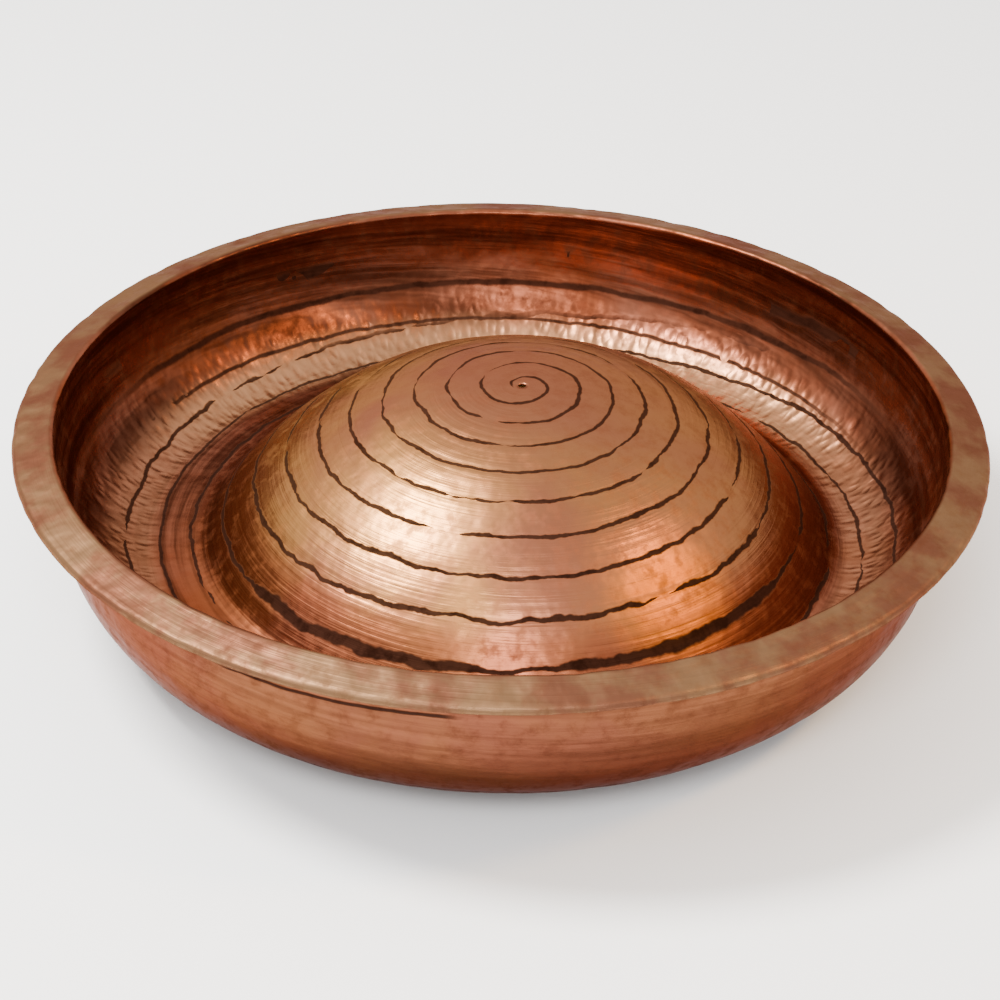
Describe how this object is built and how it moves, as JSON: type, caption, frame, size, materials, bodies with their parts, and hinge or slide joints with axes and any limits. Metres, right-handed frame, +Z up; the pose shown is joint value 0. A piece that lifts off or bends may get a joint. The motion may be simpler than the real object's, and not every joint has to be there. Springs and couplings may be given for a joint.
{
  "type": "tabletop water fountain",
  "caption": "Hammered copper tabletop fountain: a domed, wide-rimmed tray lifts out of a round bowl that hides a small submersible pump and riser.",
  "frame": {"origin": "centre of the rim, on the table under the rubber feet", "axes": "+Z up, +X to the right seen from the front, the front is -Y; the dome stands a little to +X"},
  "size_m": [0.4, 0.4, 0.0984],
  "materials": {
    "hammered_copper": "hammered, flame patina, satin",
    "brass": "satin",
    "rubber": "matt",
    "pump_plastic": "moulded, fine grain",
    "clear_tube": "flexible clear tube",
    "resin": "cast",
    "laminations": "stacked sheet",
    "winding": "enamelled wire",
    "ceramic": "ground",
    "ferrite": "sintered",
    "impeller_plastic": "moulded",
    "sponge": "open-cell foam",
    "dial_plastic": "moulded"
  },
  "bodies": {
    "reservoir": {"bowl": "hammered_copper", "foot_front_left": "rubber", "foot_front_right": "rubber", "foot_back_left": "rubber", "foot_back_right": "rubber", "cord_grommet": "rubber", "motor_housing": "pump_plastic", "potting_resin": "resin", "stator_core": "laminations", "motor_coil": "winding", "cord_bushing": "rubber", "suction_cup_1": "rubber", "suction_cup_2": "rubber", "suction_cup_3": "rubber", "suction_cup_4": "rubber", "impeller_cover": "pump_plastic", "cover_o_ring": "rubber", "rotor_shaft": "ceramic", "rear_bush": "rubber", "front_bush": "rubber", "riser_tube": "clear_tube"},
    "rotor": {"rotor_magnet": "ferrite", "impeller": "impeller_plastic"},
    "intake": {"intake_cage": "pump_plastic", "filter_sponge": "sponge"},
    "dial": {"flow_dial": "dial_plastic"},
    "tray": {"dome_tray": "hammered_copper", "outlet_spigot": "brass"}
  },
  "joints": [
    {"name": "tray_lift", "type": "slide", "parent": "reservoir", "child": "tray", "axis": [0, 0, 1], "range_m": [0, 0.12]},
    {"name": "rotor_spin", "type": "hinge", "parent": "reservoir", "child": "rotor", "pos_m": [0.008, 0, 0.0265], "axis": [1, 0, 0], "continuous": true},
    {"name": "intake_pull", "type": "slide", "parent": "reservoir", "child": "intake", "axis": [1, 0, 0], "range_m": [0, 0.03]},
    {"name": "dial_turn", "type": "hinge", "parent": "intake", "child": "dial", "pos_m": [0.008, 0, 0.0265], "axis": [1, 0, 0], "range_deg": [0, 90]}
  ]
}
